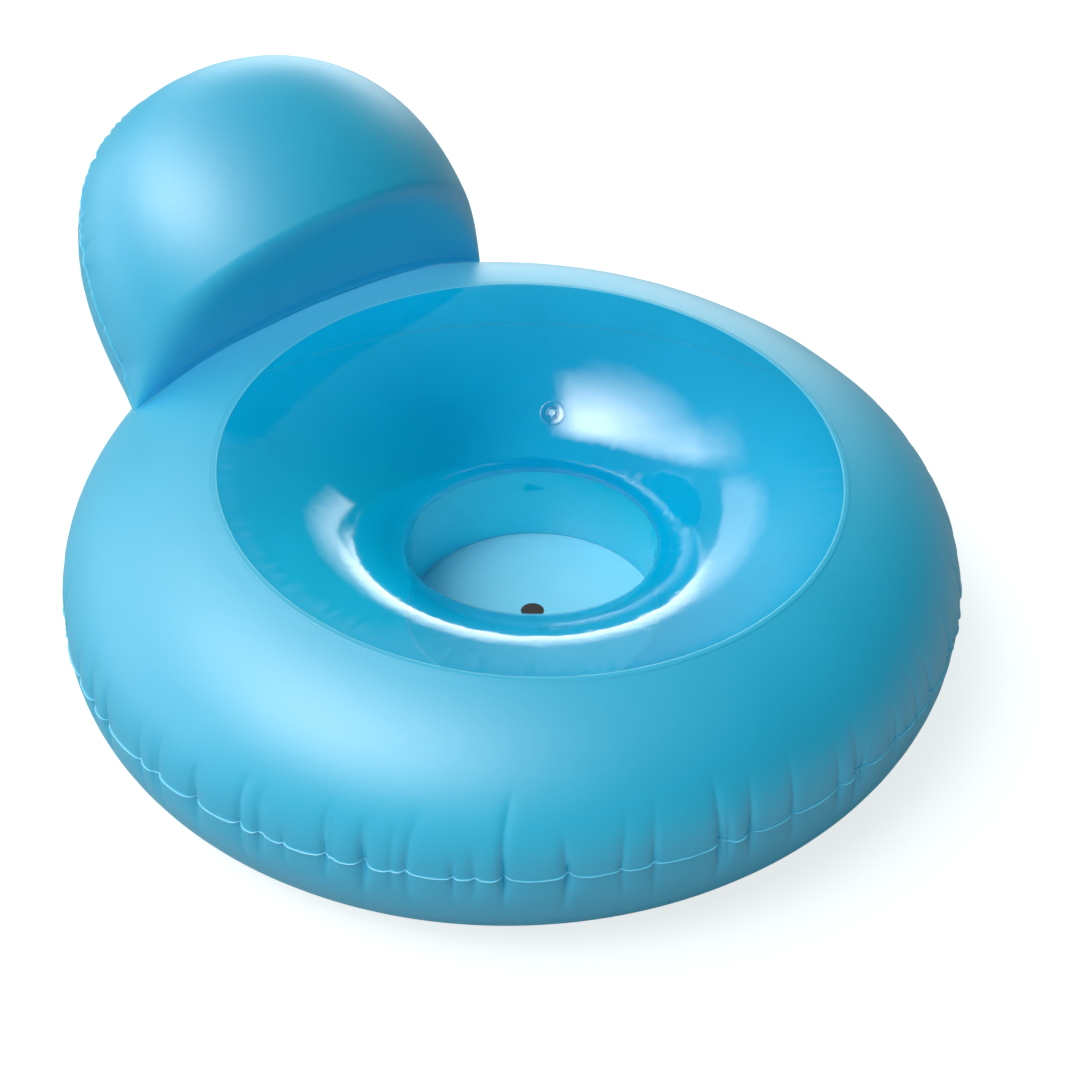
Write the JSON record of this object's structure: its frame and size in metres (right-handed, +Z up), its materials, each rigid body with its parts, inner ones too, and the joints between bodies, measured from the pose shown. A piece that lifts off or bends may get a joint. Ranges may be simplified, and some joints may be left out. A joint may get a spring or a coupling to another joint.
{
  "type": "pool_lounger",
  "caption": "Round inflatable pool lounger: an air-filled ring with a clear bowl seat, a closed floor with a drain hole and a leaning head pillow, each chamber with a push-in valve.",
  "frame": {"origin": "on the ground under the middle of the lounger's length and width", "axes": "+Y towards the pillow (the back), -Y the front, +X to the right for someone facing +Y, +Z up"},
  "size_m": [1.2187, 1.37, 0.6755],
  "materials": {
    "opaque_vinyl": "satin sky-blue vinyl sheet",
    "clear_vinyl": "glossy see-through blue vinyl sheet",
    "floor_vinyl": "satin pale blue vinyl sheet",
    "weld": "pressed vinyl weld, a little paler than the sheet",
    "valve_vinyl": "moulded soft vinyl, glossy"
  },
  "bodies": {
    "lounger": {"ring_top_panel": "opaque_vinyl", "ring_bottom_panel": "opaque_vinyl", "bowl_wall": "clear_vinyl", "well_wall": "clear_vinyl", "seat_floor": "floor_vinyl", "outer_seam_weld": "weld", "rim_seam_weld": "weld", "well_seam_weld": "weld", "floor_seam_weld": "weld", "pillow_front_panel": "opaque_vinyl", "pillow_back_panel": "opaque_vinyl", "pillow_seam_weld": "weld", "pillow_foot_weld": "weld", "ring_valve_flange": "clear_vinyl", "pillow_valve_flange": "valve_vinyl"},
    "ring_valve_stem_body": {"ring_valve_stem": "clear_vinyl"},
    "ring_valve_plug_body": {"ring_valve_plug": "valve_vinyl", "ring_valve_strap": "valve_vinyl"},
    "ring_valve_flap_body": {"ring_valve_flap": "valve_vinyl"},
    "pillow_valve_stem_body": {"pillow_valve_stem": "valve_vinyl"},
    "pillow_valve_plug_body": {"pillow_valve_plug": "valve_vinyl", "pillow_valve_strap": "valve_vinyl"},
    "pillow_valve_flap_body": {"pillow_valve_flap": "valve_vinyl"}
  },
  "joints": [
    {"name": "ring_valve_pull_out", "type": "slide", "parent": "lounger", "child": "ring_valve_stem_body", "axis": [-0.4918, -0.4828, 0.7246], "range_m": [0, 0.01]},
    {"name": "ring_valve_plug_hinge", "type": "hinge", "parent": "ring_valve_stem_body", "child": "ring_valve_plug_body", "pos_m": [0.15252, 0.01724, 0.28392], "axis": [0.6827, -0.7303, -0.0233], "range_deg": [0, 150]},
    {"name": "ring_valve_flap_hinge", "type": "hinge", "parent": "ring_valve_stem_body", "child": "ring_valve_flap_body", "pos_m": [0.16798, 0.03231, 0.2647], "axis": [-0.6827, 0.7303, 0.0233], "range_deg": [0, 60], "stiffness_Nm_per_rad": 0.0002},
    {"name": "pillow_valve_pull_out", "type": "slide", "parent": "lounger", "child": "pillow_valve_stem_body", "axis": [0, 0.8906, -0.4547], "range_m": [0, 0.01]},
    {"name": "pillow_valve_plug_hinge", "type": "hinge", "parent": "pillow_valve_stem_body", "child": "pillow_valve_plug_body", "pos_m": [0, 0.65715, 0.36966], "axis": [1, 0, 0], "range_deg": [0, 150]},
    {"name": "pillow_valve_flap_hinge", "type": "hinge", "parent": "pillow_valve_stem_body", "child": "pillow_valve_flap_body", "pos_m": [0, 0.63041, 0.38062], "axis": [-1, 0, 0], "range_deg": [0, 60], "stiffness_Nm_per_rad": 0.0002}
  ]
}
